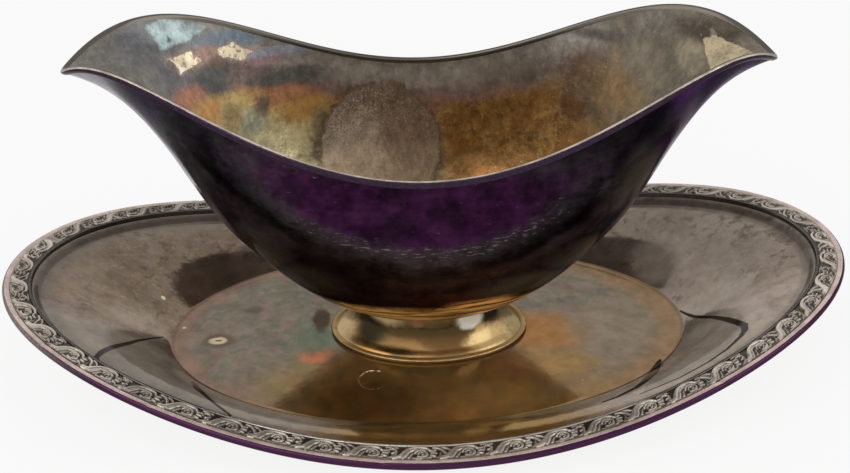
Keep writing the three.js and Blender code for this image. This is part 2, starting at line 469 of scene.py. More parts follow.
edgeWire = {
    "section": [(0.55, 2.2), (0.1, 1.75), (0, 1.1), (0.15, 0.5), (0.6, 0.08), (1.15, 0), (1.8, 0.1),
                (2.15, 0.36), (2.15, 2.2)],
    "radii": [0.2, 0.5, 0.5, 0.5, 0.5, 0.5, 0.5, 0.3, 0],  # of the section's corners
    "purpleReflectionFrom": (287, 62, 84),  # middle of the side painted with a purple reflection, and where it starts and stops fading, in degrees
    "around": 900,
    "nicks": [(211.6, 0.5, 0.35), (233.0, 0.35, 0.2), (262.5, 0.4, 0.22), (291.0, 0.3, 0.18),
              (306.0, 0.45, 0.25), (20.0, 0.4, 0.2), (75.0, 0.5, 0.25), (128.0, 0.4, 0.2)],
}  # each nick is its angle and half width in degrees, and its depth


def makeEdgeWire():
    angle = turnAngles(edgeWire["around"])
    dent = 0 * angle
    for at, width, depth in edgeWire["nicks"]:
        away = (np.degrees(angle) - at + 180) % 360 - 180
        dent += depth * np.exp(-(away / width) ** 2)
    dent += 0.02 * np.sin(angle * 37 + 1) * np.sin(angle * 11)
    rows = []
    for inward, drop in edgeWire["section"]:
        share = max(0, 1 - drop / 1.2)
        rows.append(outlinePoint(angle, inward, drop + dent * share))
    rows = rounded(np.array(rows), edgeWire["radii"])
    piece = skin("edgeWire", rows, sharpAngle=70)
    middle, full, none = edgeWire["purpleReflectionFrom"]
    away = np.abs((np.degrees(angle) - middle + 180) % 360 - 180)
    inward = insetOf(angle, rows)
    # where the side carries a painted reflection of a purple cloth
    pointValue(piece, "purpleReflection", (1 - wave(away, full, none)) * (1 - wave(inward, 1.0, 1.5)))
    pointValue(piece, "crest", wave(inward, 0.1, 1.0))
    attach(piece, "root")
    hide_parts("edge_wire")
    return piece


beadWire = {
    "section": [(7.7, 1.5), (6.75, 1.5), (6.75, 0.2), (6.95, -0.02), (7.2, -0.08), (7.45, 0.02),
                (7.65, 0.3)],
    "radii": [0, 0, 0.2, 0.2, 0.2, 0.2, 0.2],
    "around": 720,
}


def makeBeadWire():
    angle = turnAngles(beadWire["around"])
    wander = 0.02 * np.sin(angle * 23) + 0.02 * np.sin(angle * 41 + 2)
    rows = np.array([outlinePoint(angle, inward, drop + wander) for inward, drop in beadWire["section"]])
    rows = rounded(rows, beadWire["radii"], 3)
    piece = skin("beadWire", rows, sharpAngle=60)
    height = outlinePoint(angle, 0, 0)[:, 2]
    pointValue(piece, "crest", 1 - (height[None, :] - rows[:, :, 2]) / 1.5)
    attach(piece, "root")
    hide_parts("bead_wire")
    return piece


# scroll border

border = {
    "outer": 2.2,
    "inner": 6.8,
    "floorDrop": 1.3,
    "ground": 0.42,  # depth of the ground below the edge's height
    "units": 25,  # each holds two scrolls
    "columns": 156,  # in one unit
    "rows": 40,
    "start": 11.5,  # arc length of the first scroll's eye
    "jointAt": 275.1,  # arc length where the strip's two ends meet
    "second": 11.6,  # distance from a unit's first scroll to its second
}


def bend(x, points):
    # smooth path through the points; x runs along the border from the scroll's eye, and y from the
    # border's outer side, 0, to its inner side, 4.6
    points = np.array([(x + px, py) for px, py in points])
    ends = [2 * points[0] - points[1], *points, 2 * points[-1] - points[-2]]
    path = []
    for a, b, c, d in zip(ends, ends[1:], ends[2:], ends[3:]):
        for t in (0, 0.25, 0.5, 0.75):
            path.append((2 * b + (c - a) * t + (2 * a - 5 * b + 4 * c - d) * t * t
                         + (3 * b - a - 3 * c + d) * t ** 3) / 2)
    return np.array(path + [points[-1]])


def ring(x, y, radius, first, last):
    angles = np.radians(np.linspace(first, last, 22))
    return np.stack([x + 1.12 * radius * np.cos(angles), y + 0.95 * radius * np.sin(angles)], -1)


def scroll(x, foot):
    # a leaf that rises from the outer side and curls over the next eye; each stroke is its path,
    # half widths at both ends and height
    return [
        (bend(x, [(-6.4, 0.4), (-5.0, 1.0), (-3.9, 2.5), (-2.5, 3.8), (-0.4, 4.3), (1.5, 3.95), (2.3, 3.1)]),
         foot, 0.34, 0.56),
        (bend(x, [(-4.3, 0.45), (-3.5, 1.5), (-2.8, 2.6), (-1.6, 3.3), (-0.5, 3.45)]), 0.56, 0.2, 0.5),
        (bend(x, [(-2.9, 0.55), (-2.4, 1.5), (-1.9, 2.2)]), 0.4, 0.2, 0.44),
        (ring(x + 0.1, 1.95, 1.3, 165, -120), 0.3, 0.44, 0.54),
        (ring(x + 0.1, 2.05, 0.58, 190, -60), 0.24, 0.34, 0.46),
        (bend(x, [(-2.0, 0.35), (-0.4, 0.25), (1.2, 0.35), (2.4, 0.8)]), 0.34, 0.26, 0.46),
        (bend(x, [(2.5, 1.35), (3.5, 1.05)]), 0.44, 0.3, 0.5),
        (bend(x, [(2.7, 2.15), (3.8, 2.1)]), 0.4, 0.28, 0.5),
        (bend(x, [(2.7, 2.95), (3.7, 3.2)]), 0.4, 0.26, 0.46),
    ]


def leaves(x):
    return [
        (bend(x, [(3.2, 4.25), (4.6, 3.9), (5.6, 2.9), (6.2, 1.9)]), 0.4, 0.42, 0.46),
        (bend(x, [(5.2, 4.3), (6.4, 3.9), (7.2, 3.2)]), 0.34, 0.3, 0.42),
        (bend(x, [(3.9, 0.4), (4.7, 1.3), (4.9, 2.3)]), 0.34, 0.24, 0.42),
    ]


def smallCurls(x):
    return [
        (ring(x + 4.9, 2.9, 0.85, 200, -90), 0.3, 0.34, 0.48),
        (bend(x, [(3.4, 4.3), (4.6, 4.3), (6.2, 4.1)]), 0.26, 0.3, 0.42),
        (bend(x, [(3.9, 0.4), (4.9, 0.9), (5.8, 1.9)]), 0.36, 0.26, 0.44),
    ]


def unitStrokes():
    second = border["second"]
    return scroll(0, 0.7) + leaves(0) + scroll(second, 0.95) + smallCurls(second)


def unitRelief(length):
    # height of the stamped ornament over one unit
    along = (np.arange(border["columns"]) + 0.5) / border["columns"] * length
    width = border["inner"] - border["outer"]
    across = np.linspace(0, width, border["rows"])
    x, y = np.meshgrid(along, across)
    relief = np.zeros_like(x)
    for shape, firstWidth, lastWidth, height in unitStrokes():
        for k in range(len(shape) - 1):
            start, end = shape[k], shape[k + 1]
            run = end - start
            gapX = (x - start[0] + length / 2) % length - length / 2
            gapY = y - start[1]
            t = np.clip((gapX * run[0] + gapY * run[1]) / (run @ run + 1e-9), 0, 1)
            away = np.hypot(gapX - t * run[0], gapY - t * run[1])
            share = (k + t) / (len(shape) - 1)
            wide = firstWidth + (lastWidth - firstWidth) * share
            ridge = height * np.sqrt(np.clip(1 - (away / wide) ** 2, 0, 1))
            relief = np.maximum(relief, ridge)
    return relief


def softened(values, times):
    for _ in range(times):
        values = (np.roll(values, 1, 1) + np.roll(values, -1, 1) + 2 * values) / 4
        padded = np.pad(values, ((1, 1), (0, 0)), "edge")
        values = (padded[:-2] + padded[2:] + 2 * values) / 4
    return values


def makeBorder():
    p = border
    fine = np.linspace(0, 2 * math.pi, 20001)
    middle = outlinePoint(fine, (p["outer"] + p["inner"]) / 2, 0)
    arc = np.concatenate([[0], np.cumsum(np.linalg.norm(np.diff(middle, axis=0), axis=1))])
    unitLength = arc[-1] / p["units"]
    columns = p["units"] * p["columns"]
    place = (np.arange(columns) + 0.5) / columns * arc[-1]
    angle = np.interp((place + p["start"]) % arc[-1], arc, fine)
    relief = np.tile(unitRelief(unitLength), (1, p["units"]))
    fromJoint = (place + p["start"]) % arc[-1] - p["jointAt"]
    plain = wave(np.abs(fromJoint), 0.9, 1.8)
    worn = 0.9 + 0.06 * np.sin(place * 0.21 + 1) + 0.04 * np.sin(place * 0.53)
    relief = softened(relief * worn * plain + 0.3 * (1 - plain), 1)
    relief -= 0.3 * np.exp(-(fromJoint / 0.16) ** 2)
    inward = np.linspace(p["outer"], p["inner"], p["rows"])
    relief = np.maximum(relief, 0.36 * (1 - wave(inward, 2.25, 2.6))[:, None])  # plain outer edge
    rows = []
    for k, step in enumerate(inward):
        t = k / (p["rows"] - 1)
        dome = 0.12 * (1 - (2 * t - 1) ** 2)
        rows.append(outlinePoint(angle, step, p["ground"] - dome - relief[k]))
    for step in (p["inner"], p["outer"]):
        rows.append(outlinePoint(angle, step, p["floorDrop"]))
    piece = skin("scrollBorder", np.array(rows)[::-1], sharpAngle=85)
    shown = np.concatenate([relief, np.zeros((2, columns))])
    pointValue(piece, "relief", (shown / 0.5)[::-1])
    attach(piece, "root")
    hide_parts("border")
    return piece


# boat

boat = {
    "turn": -1.98,  # degrees
    "halfLength": 93.9,
    "halfWidth": 43.5,
    "rimShift": -1.3,
    "bottomShift": -0.6,
    "planTaper": (0.027, 0.177, 0.048),  # how the outline narrows towards the lips
    "rimHeight": (70.44, 53.5, -20.93, -18.77),  # at the sides, and what is added towards the lips
    "wall": 1.1,
    "bottomZ": 16.83,
    "bottomHalfLength": 13.9,
    "bottomHalfWidth": 11,
    "sideCurve": (0.388, 0, 0.973, 0.05),  # two handles of the wall's curve, each out and up
    "endCurve": (0.777, 0.1, 0.511, 0.854),
    "around": 400,
    "rows": 64,
    "top": 0.985,
    "wallEnd": 1.65,  # millimetres below the rim, just inside the rim wire
}


def rimPoint(angle):
    u = np.cos(angle)
    a, b, d = boat["planTaper"]
    half = boat["halfWidth"] * np.sin(angle) * (1 - a * u ** 2 - b * u ** 4 - d * u ** 8)
    h = boat["rimHeight"]
    z = h[0] + h[1] * u ** 2 + h[2] * u ** 4 + h[3] * u ** 6
    return np.stack([boat["halfLength"] * u + boat["rimShift"], half, z], -1)


def boatPoint(angle, s):
    # outer face: s is 0 at the foot, 1 at the rim and -1 in the middle of the bottom
    rim = rimPoint(angle)
    shift = boat["bottomShift"]
    foot = ovalRow(angle, boat["bottomHalfLength"], boat["bottomHalfWidth"], boat["bottomZ"]) + [shift, 0, 0]
    lip = np.cos(angle) ** 2
    mix = [side * (1 - lip) + end * lip for side, end in zip(boat["sideCurve"], boat["endCurve"])]
    if s < 0:
        t = 1 + s
        reach = np.hypot(foot[:, 0] - shift, foot[:, 1])
        run = np.hypot(rim[:, 0] - foot[:, 0], rim[:, 1] - foot[:, 1])
        slope = mix[1] * (rim[:, 2] - foot[:, 2]) / (mix[0] * run)
        dip = slope * reach * (t ** 3 - t ** 2)
        return np.stack([shift + (foot[:, 0] - shift) * t, foot[:, 1] * t, foot[:, 2] + dip], -1)
    q = 1 - s
    out = 3 * s * q * q * mix[0] + 3 * s * s * q * mix[2] + s ** 3
    up = 3 * s * q * q * mix[1] + 3 * s * s * q * mix[3] + s ** 3
    plan = foot[:, :2] + (rim[:, :2] - foot[:, :2]) * out[:, None]
    return np.concatenate([plan, (foot[:, 2] + (rim[:, 2] - foot[:, 2]) * up)[:, None]], 1)


def unit(vectors):
    return vectors / np.linalg.norm(vectors, axis=-1, keepdims=True)


def boatFrame(angle, s):
    # along the edge, up the wall and out of the wall
    along = unit(boatPoint(angle + 0.01, s) - boatPoint(angle - 0.01, s))
    low, high = (s, s + 0.004) if s < 0.02 else (s - 0.004, s)
    up = boatPoint(angle, high) - boatPoint(angle, low)
    up = unit(up - along * (up * along).sum(-1, keepdims=True))
    return along, up, unit(np.cross(along, up))


def turned(rows):
    # the boat stands a little askew on its stand
    a = math.radians(boat["turn"])
    c, s = math.cos(a), math.sin(a)
    x, y = rows[..., 0], rows[..., 1]
    return np.stack([c * x - s * y, s * x + c * y, rows[..., 2]], -1)


def makeBowl():
    angle = turnAngles(boat["around"])
    stations = [-0.985, -0.8, -0.6, -0.4, -0.2]
    stations += list(boat["top"] * np.linspace(0, 1, boat["rows"]))
    outer, inner = [], []
    for s in stations:
        row = boatPoint(angle, s)
        if s == stations[-1]:
            fromRim = row - rimPoint(angle)
            row = rimPoint(angle) + unit(fromRim) * boat["wallEnd"]
        outer.append(row)
        if s < 0:
            inner.append(row + [0, 0, boat["wall"]])
        else:
            inner.append(row - boatFrame(angle, s)[2] * boat["wall"])
    rows = np.array(outer + inner[::-1])
    piece = skin("bowlBody", turned(rows), closed=False, poles=True, sharpAngle=60)
    steps = np.linalg.norm(np.diff(np.array(outer), axis=0), axis=2)
    below = np.concatenate([np.cumsum(steps[::-1], axis=0)[::-1], np.zeros((1, len(angle)))])
    below = np.concatenate([below, below[::-1]])
    pointValue(piece, "below", np.append(below.ravel(), [90, 90]))  # millimetres below the rim
    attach(piece, "root")
    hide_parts("bowl")
    return piece


def paintInside(piece):
    # the second finish goes on every face after the wall's top edge, except the first pole's
    around = boat["around"]
    faces = np.zeros(len(piece.data.polygons), np.int32)
    rows = (len(faces) - 2 * around) // around
    faces[(rows // 2 + 1) * around:rows * around] = 1
    faces[-around:] = 1
    piece.data.polygons.foreach_set("material_index", faces)
    piece.data.update()


rimWire = {
    "section": [(0.22, -1.75), (0.32, -1.3), (0.3, -0.5), (-0.05, -0.06), (-0.45, 0), (-0.85, -0.1),
                (-1.12, -0.5), (-1.13, -1.2), (-1.12, -1.7), (-0.5, -1.75)],
    "radii": [0.15, 0.3, 0.4, 0.3, 0.4, 0.3, 0.3, 0.2, 0.1, 0.1],
    "around": 720,
}


def makeRimWire():
    angle = turnAngles(rimWire["around"])
    up, out = boatFrame(angle, 1)[1:]
    rim = rimPoint(angle)
    rows = np.array([rim + out * side + up * height for side, height in rimWire["section"]])
    rows = rounded(rows, rimWire["radii"])
    piece = skin("rimWire", turned(rows), sharpAngle=70)
    height = ((rows - rim) * up).sum(-1)
    inward = ((rim - rows) * out).sum(-1)
    pointValue(piece, "crest", 1 + height / 1.75)
    paleWidth = 0.75 - 0.35 * wave(np.abs(rows[:, :, 0]), 15, 60)  # the rubbed line is thinner at the lips
    pointValue(piece, "within", wave(inward - paleWidth, 0, 0.3))
    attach(piece, "root")
    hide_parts("rim_wire")
    return piece


# foot

foot = {
    "halfLength": 29.4,
    "halfWidth": 19.9,
    "neckHalfLength": 17,
    "neckHalfWidth": 12.5,
    "inset": 1.6,
    "base": 1.05,
    "top": 16.9,
    "sheet": 0.9,
    "profile": [  # share of the way in to the neck, and of the height
        (0, 0), (0.04, 0.02), (0.1, 0.045), (0.2, 0.075), (0.3, 0.11), (0.43, 0.175), (0.55, 0.255),
        (0.67, 0.35), (0.78, 0.47), (0.87, 0.6), (0.935, 0.74), (0.975, 0.88), (0.985, 1),
    ],
    "around": 240,
}


def makeFoot():
    p = foot
    angle = turnAngles(p["around"])

    def row(share, z, inward):
        a = p["halfLength"] - p["inset"]
        b = p["halfWidth"] - p["inset"]
        a += (p["neckHalfLength"] - a) * share - inward
        b += (p["neckHalfWidth"] - b) * share - inward
        return ovalRow(angle, a, b, z)

    height = p["top"] - p["base"] - p["sheet"]
    outer = [row(0, p["base"], 0)]
    inner = []
    for share, rise in p["profile"]:
        outer.append(row(share, p["base"] + p["sheet"] + height * rise, 0))
        thin = p["sheet"] * (0.35 + 0.65 * rise)
        inner.append(row(share, p["base"] + height * rise + (p["sheet"] if rise == 1 else 0), thin))
    rows = np.array(outer + inner[::-1])
    piece = skin("footShell", turned(rows), sharpAngle=50)
    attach(piece, "root")
    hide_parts("foot")
    return piece


footWire = {
    "section": [(0.15, -0.2), (0, 0.25), (0, 0.7), (0.35, 1.08), (1.1, 1.06), (1.7, 0.86), (1.7, -0.2)],
    "radii": [0.1, 0.3, 0.4, 0.45, 0.4, 0.2, 0],
    "base": 1.2,
    "around": 300,
}


def makeFootWire():
    angle = turnAngles(footWire["around"])
    rows = []
    for inward, rise in footWire["section"]:
        a, b = foot["halfLength"] - inward, foot["halfWidth"] - inward
        rows.append(ovalRow(angle, a, b, footWire["base"] + rise))
    rows = rounded(np.array(rows), footWire["radii"])
    piece = skin("footWire", turned(rows), sharpAngle=60)
    pointValue(piece, "crest", (rows[:, :, 2] - footWire["base"]) / 1.1)
    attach(piece, "root")
    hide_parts("foot_wire")
    return piece


stand = makeStand()
edge = makeEdgeWire()
bead = makeBeadWire()
ornament = makeBorder()
print("stand and border made")
bowl = makeBowl()
rim = makeRimWire()
footShell = makeFoot()
footRing = makeFootWire()
print("boat and foot made")


# finishes

greyTint = (0.4, 0.4, 0.4)  # of the wires' and the border's shine


def dress(piece, *materials):
    for material in materials:
        piece.data.materials.append(material)


def finish(shader, colour, roughness, metallic, bumps, edgeTint=(0.5, 0.5, 0.5), gloss=0.5):
    plug(colour, shader.inputs["Base Color"])
    plug(roughness, shader.inputs["Roughness"])
    plug(metallic, shader.inputs["Metallic"])
    shader.inputs["Specular Tint"].default_value = (*edgeTint, 1)
    shader.inputs["Specular IOR Level"].default_value = gloss
    plug(bumpOf(bumps), shader.inputs["Normal"])


def panelShare(place, ragged, panel):
    # share of a straight-sided patch; its corners are x and z on the far wall, or x and y seen from above
    corners = panel["corners"]
    across = panel.get("across", "Z")
    share = None
    middle = np.mean(corners, axis=0)
    for k, (x, z) in enumerate(corners):
        nextX, nextZ = corners[(k + 1) % len(corners)]
        side = np.array([-(nextZ - z), nextX - x])
        side = side / np.linalg.norm(side)
        if side @ (middle - [x, z]) < 0:
            side = -side
        direction = (side[0], 0, side[1]) if across == "Z" else (side[0], side[1], 0)
        depth = dot(place, direction) - (float(side @ [x, z]) - panel.get("grown", 0))
        share = depth if share is None else smaller(share, depth)
    share += around(ragged, panel.get("ragged", 2.0))
    share = ease(share, 0, panel.get("edge", 0.4))
    if across == "Z":  # and only as far towards the front as it says
        nearest = panel.get("nearest", 2)
        share *= ease(axisOf(place, "Y"), nearest, nearest + 2)
    return share


insideTarnish = {
    "deep": 40,  # millimetres
    "depths": [  # share of that depth below the rim, and the colour there
        (0.0, (0.24, 0.215, 0.185)),
        (0.1, (0.35, 0.31, 0.27)),
        (0.19, (0.31, 0.26, 0.225)),
        (0.26, (0.2, 0.14, 0.125)),
        (0.34, (0.28, 0.165, 0.12)),
        (0.44, (0.46, 0.25, 0.12)),
        (0.56, (0.48, 0.33, 0.12)),
        (0.74, (0.52, 0.44, 0.22)),
        (1.0, (0.5, 0.43, 0.26)),
    ],
    "blueReflectionShimmer": [  # share of the noise, and the colour there
        (0.36, (0.2, 0.23, 0.23)),
        (0.46, (0.29, 0.34, 0.34)),
        (0.54, (0.35, 0.44, 0.44)),
        (0.64, (0.44, 0.43, 0.49)),
    ],
    "rightGold": (0.22, 0.108, 0.027),
    "rightDeep": (0.22, 0.105, 0.028),
    "rightPale": (0.3, 0.17, 0.06),
    "leftLip": (0.222, 0.207, 0.178),
    "rightLip": (0.155, 0.13, 0.094),
    "spots": [
        stain((-61, 27, 71), (9, 12, 4.8), (0.1, 0.102, 0.092), 1.0, 0.9),
        stain((-49, 33, 70), (8, 9, 3.0), (0.22, 0.165, 0.145), 1.1, 1.0),
        stain((-38, 37, 67.5), (12, 9, 3.2), (0.13, 0.125, 0.11), 0.8, 0.8),
        stain((-74, 20, 86), (12, 12, 6), (0.135, 0.135, 0.14), 0.6, 1.2),
        # these three, bluish and pinkish, carry the painted window reflection to the right
        stain((-56, 33, 81), (13, 8, 3), (0.2, 0.24, 0.28), 0.4, 0.9),
        stain((-42, 37, 75.5), (12, 8, 1.7), (0.34, 0.34, 0.39), 0.9, 1.1),
        stain((-45, 36, 73.2), (6, 8, 1.3), (0.36, 0.24, 0.24), 1.2, 1.1),
        stain((-61.5, 27, 79), (6, 6, 2), (0.34, 0.22, 0.18), 1.0, 0.8),
        stain((-71, 20, 75), (6, 8, 6), (0.17, 0.152, 0.162), 0.7, 1.2),
        stain((-66, 17, 69), (6, 8, 3.2), (0.42, 0.2, 0.13), 1.3, 1.1),
        stain((-60, 19, 64), (7, 8, 4), (0.5, 0.27, 0.1), 1.0, 0.9),
        stain((-40, 35, 62.5), (9, 9, 2.8), (0.42, 0.19, 0.1), 1.2, 1.1),
        stain((-34, 36, 58), (9, 9, 3.6), (0.5, 0.28, 0.09), 0.9, 0.9),
        stain((-50, 28, 57), (4, 8, 3.6), (0.3, 0.29, 0.2), 1.2, 0.9),
        stain((-47, 29, 61), (2.4, 8, 3), (0.2, 0.13, 0.09), 1.2, 0.9),
        stain((-56, 24, 60), (3, 8, 5), (0.36, 0.26, 0.12), 1.2, 0.9),
        stain((-30, 36, 49), (3.4, 9, 8), (0.24, 0.2, 0.11), 1.3, 0.8),
        stain((-35, 33, 42), (5, 9, 3), (0.36, 0.3, 0.17), 1.3, 0.9),
        stain((66, 20, 87), (10, 12, 3.4), (0.14, 0.122, 0.1), 0.8, 0.5),
        stain((79, 9, 87), (10, 12, 3.6), (0.085, 0.066, 0.047), 0.7, 0.6),
        stain((31.5, 37, 67), (16, 9, 4.5), (0.19, 0.155, 0.115), 0.9, 1.2, 0.7),
        stain((56, 26, 80), (16, 12, 1.6), (0.11, 0.098, 0.08), 0.9, 1.0),
        stain((63, 20, 74), (5, 12, 8), (0.2, 0.165, 0.12), 0.9, 1.0),
        stain((48, 28, 65), (6, 10, 9), (0.155, 0.1, 0.055), 1.3, 1.1),
        stain((57, 24, 68), (1.6, 10, 9), (0.26, 0.18, 0.1), 1.3, 1.2),
        stain((51, 26, 63), (1.3, 10, 8), (0.12, 0.09, 0.055), 1.2, 0.9, 0.5),
        stain((59, 21, 65), (7, 10, 6), (0.25, 0.155, 0.068), 1.8, 1.4, 0.85),
        stain((45, 27, 58), (4, 9, 4), (0.13, 0.06, 0.022), 1.4, 0.9),
        stain((22, 33, 35.5), (6, 6, 2.4), (0.44, 0.2, 0.06), 1.8, 0.6),
        stain((17, 34, 38.5), (5, 6, 1.6), (0.34, 0.17, 0.06), 1.6, 0.9),
        stain((74, 9.5, 80), (3.4, 8, 4.4), (0.29, 0.24, 0.165), 1.0, 0.7, 0.8),
        stain((88.5, 1.5, 85.4), (4.4, 7, 1.9), (0.2, 0.165, 0.13), 0.8, 1.0),
        stain((79.7, 9.4, 86.2), (0.6, 4, 1.1), (0.34, 0.28, 0.21), 2.6, 1.2, 0.6),
    ],
    # the pale patch low on the left, its dark rim and the mottle right of it
    "patch": {"at": (-12.5, 38, 42.8), "size": (18.4, 32, 20), "edge": 0.06, "ragged": 0.24},
    "patchEdge": {"at": (-12.6, 38, 42.8), "size": (19.8, 34, 21.2), "edge": 0.2, "ragged": 0.5},
    "mottle": {"at": (27, 34, 51), "size": (24, 16, 9), "edge": 0.7, "ragged": 0.5},
    # patches with straight sides; their corners are x and z. The blue and cream ones are painted reflections
    # of a window
    "blueWindowReflection": {"corners": [(-77, 89.2), (-72, 90.8), (-59, 85.6), (-66.4, 82.5), (-72.8, 82.3)],
             "edge": 1.1},
    "creamWindowReflection": {"corners": [(-59.2, 79.2), (-54.4, 80.2), (-48.8, 76.6), (-51.6, 74.2), (-57.6, 76.4)],
              "ragged": 3.0},
    "lowCreamWindowReflection": {"corners": [(-71, 80.4), (-65.5, 80.4), (-62.4, 77.0), (-67.8, 75.7)], "ragged": 2.2},
    "worn": {"corners": [(77, 84.4), (79.4, 86.3), (87.6, 84.3), (88, 82), (80, 74), (77, 74)],
             "ragged": 1.4, "nearest": -4},
    "mottleDark": (0.1, 0.05, 0.014),
    "patchRim": (0.13, 0.082, 0.048),
    "patchDull": (0.32, 0.25, 0.18),
    "patchPale": (0.41, 0.32, 0.235),
    "patchFoot": (0.6, 0.47, 0.34),
    "duskMiddle": (0.25, 0.172, 0.112),
    "duskLow": (0.44, 0.325, 0.21),
    "duskHigh": (0.2, 0.14, 0.1),
    "darkSpeckle": (0.12, 0.085, 0.06),
    "paleSpeckle": (0.42, 0.33, 0.25),
    "palestBlueReflection": (0.39, 0.51, 0.5),
    "creamReflectionHalo": (0.5, 0.34, 0.27),
    "creamReflectionColour": (1.0, 0.84, 0.58),
    "wornColour": (0.53, 0.43, 0.275),
    "specks": (0.55, 0.5, 0.42),
}


def makeInsideTarnish():
    p = insideTarnish
    material, shader, place = newMaterial("insideTarnish")
    x, z = axisOf(place, "X"), axisOf(place, "Z")
    clouds = grain(place, 9, 4, 0.6)
    ragged = grain(place, 2.6, 5, 0.65)
    fine = grain(place, 0.7, 3, 0.7)
    drift = around(clouds, 9) + around(ragged, 4)
    depth = clamped((valueOf(shader, "below") + drift) / p["deep"])
    colour = colourSteps(depth, p["depths"])
    right = ease(x, -2, 12) * ease(depth, 0.3, 0.42)
    gold = blend(ease(z, 50, 34), p["rightGold"], p["rightDeep"])
    palePlaces = ease(ragged, 0.46, 0.62) * ease(clouds, 0.38, 0.6)
    gold = blend(palePlaces, gold, p["rightPale"])
    colour = blend(right, colour, gold)
    slide = x + around(ragged, 14)
    colour = blend(ease(slide, -56, -70), colour, p["leftLip"])
    colour = blend(ease(slide, 46, 60), colour, p["rightLip"])
    colour = paintSpots(colour, place, ragged, p["spots"])

    veins = grain(place, 2.4, 6, 0.75, warp=0.6)
    mottled = ease(veins, 0.5, 0.6) * spotShare(place, ragged, p["mottle"])
    colour = blend(mottled * 0.75, colour, p["mottleDark"])

    # the pale patch grows dusky and speckled towards the right
    colour = blend(spotShare(place, ragged, p["patchEdge"]), colour, p["patchRim"])
    patch = spotShare(place, ragged, p["patch"])
    speckle = grain(place, 0.6, 2, 0.6)
    pale = blend(ease(clouds, 0.4, 0.62), p["patchDull"], p["patchPale"])
    pale = blend(ease(z, 48, 37), pale, p["patchFoot"])
    dusky = blend(ease(slide, -18, -8), pale, p["duskMiddle"])
    dusky = blend(ease(z + around(ragged, 6), 46, 38) * 0.75, dusky, p["duskLow"])
    dusky = blend(ease(z + around(ragged, 8), 50, 58), dusky, p["duskHigh"])
    strongAbove = ease(z, 40, 58, 0.15, 0.9)
    speckled = ease(speckle, 0.53, 0.6) * strongAbove
    dusky = blend(speckled, dusky, p["darkSpeckle"])
    speckled = ease(speckle, 0.42, 0.34) * strongAbove
    dusky = blend(speckled, dusky, p["paleSpeckle"])
    fading = ease(slide, -16, 2, 1.0, 0.55) * ease(z, 56, 66, 1.0, 0.6)
    colour = blend(patch * fading, colour, dusky)

    # straight-sided patches on the lips: painted window reflections on the left, and wear on the right
    blueWindowReflection = panelShare(place, ragged, p["blueWindowReflection"]) * ease(ragged, 0.3, 0.42)
    blueReflectionShimmer = colourSteps(grain(place, 1.9, 5, 0.7), p["blueReflectionShimmer"])
    palest = ease(z, 87.5, 84.5) * ease(ragged, 0.4, 0.56, 0.5, 1.0)
    blueReflectionShimmer = blend(palest, blueReflectionShimmer, p["palestBlueReflection"])
    colour = blend(blueWindowReflection * 0.9, colour, blueReflectionShimmer)
    flakes = ease(grain(place, 1.6, 4, 0.7), 0.36, 0.5)
    for name in ("creamWindowReflection", "lowCreamWindowReflection"):
        halo = panelShare(place, fine, {**p[name], "ragged": 5.0, "edge": 3.4, "grown": 1.6})
        colour = blend(halo * 0.7, colour, p["creamReflectionHalo"])
        share = panelShare(place, ragged, p[name]) * flakes
        colour = blend(share, colour, p["creamReflectionColour"])
    worn = panelShare(place, ragged, p["worn"]) * ease(fine, 0.3, 0.42)
    colour = blend(worn, colour, p["wornColour"])

    colour *= ease(grain(place, 4, 5, 0.65), 0.3, 0.7, 0.82, 1.16)
    smears = grain(place, 2.2, 5, 0.75, stretch=(1, 1, 0.4), warp=0.8)
    colour *= ease(smears, 0.32, 0.68, 0.8, 1.2)
    specks = ease(grain(place, 0.45, 1, 0.4), 0.76, 0.8)
    colour = blend(specks, colour, p["specks"])
    roughness = ease(clouds, 0.3, 0.7, 0.22, 0.32) + patch * 0.2
    finish(shader, colour, roughness, 0.5, [(clouds, 0.25), (speckle, 0.01), (patch * speckle, 0.05)])
    return material


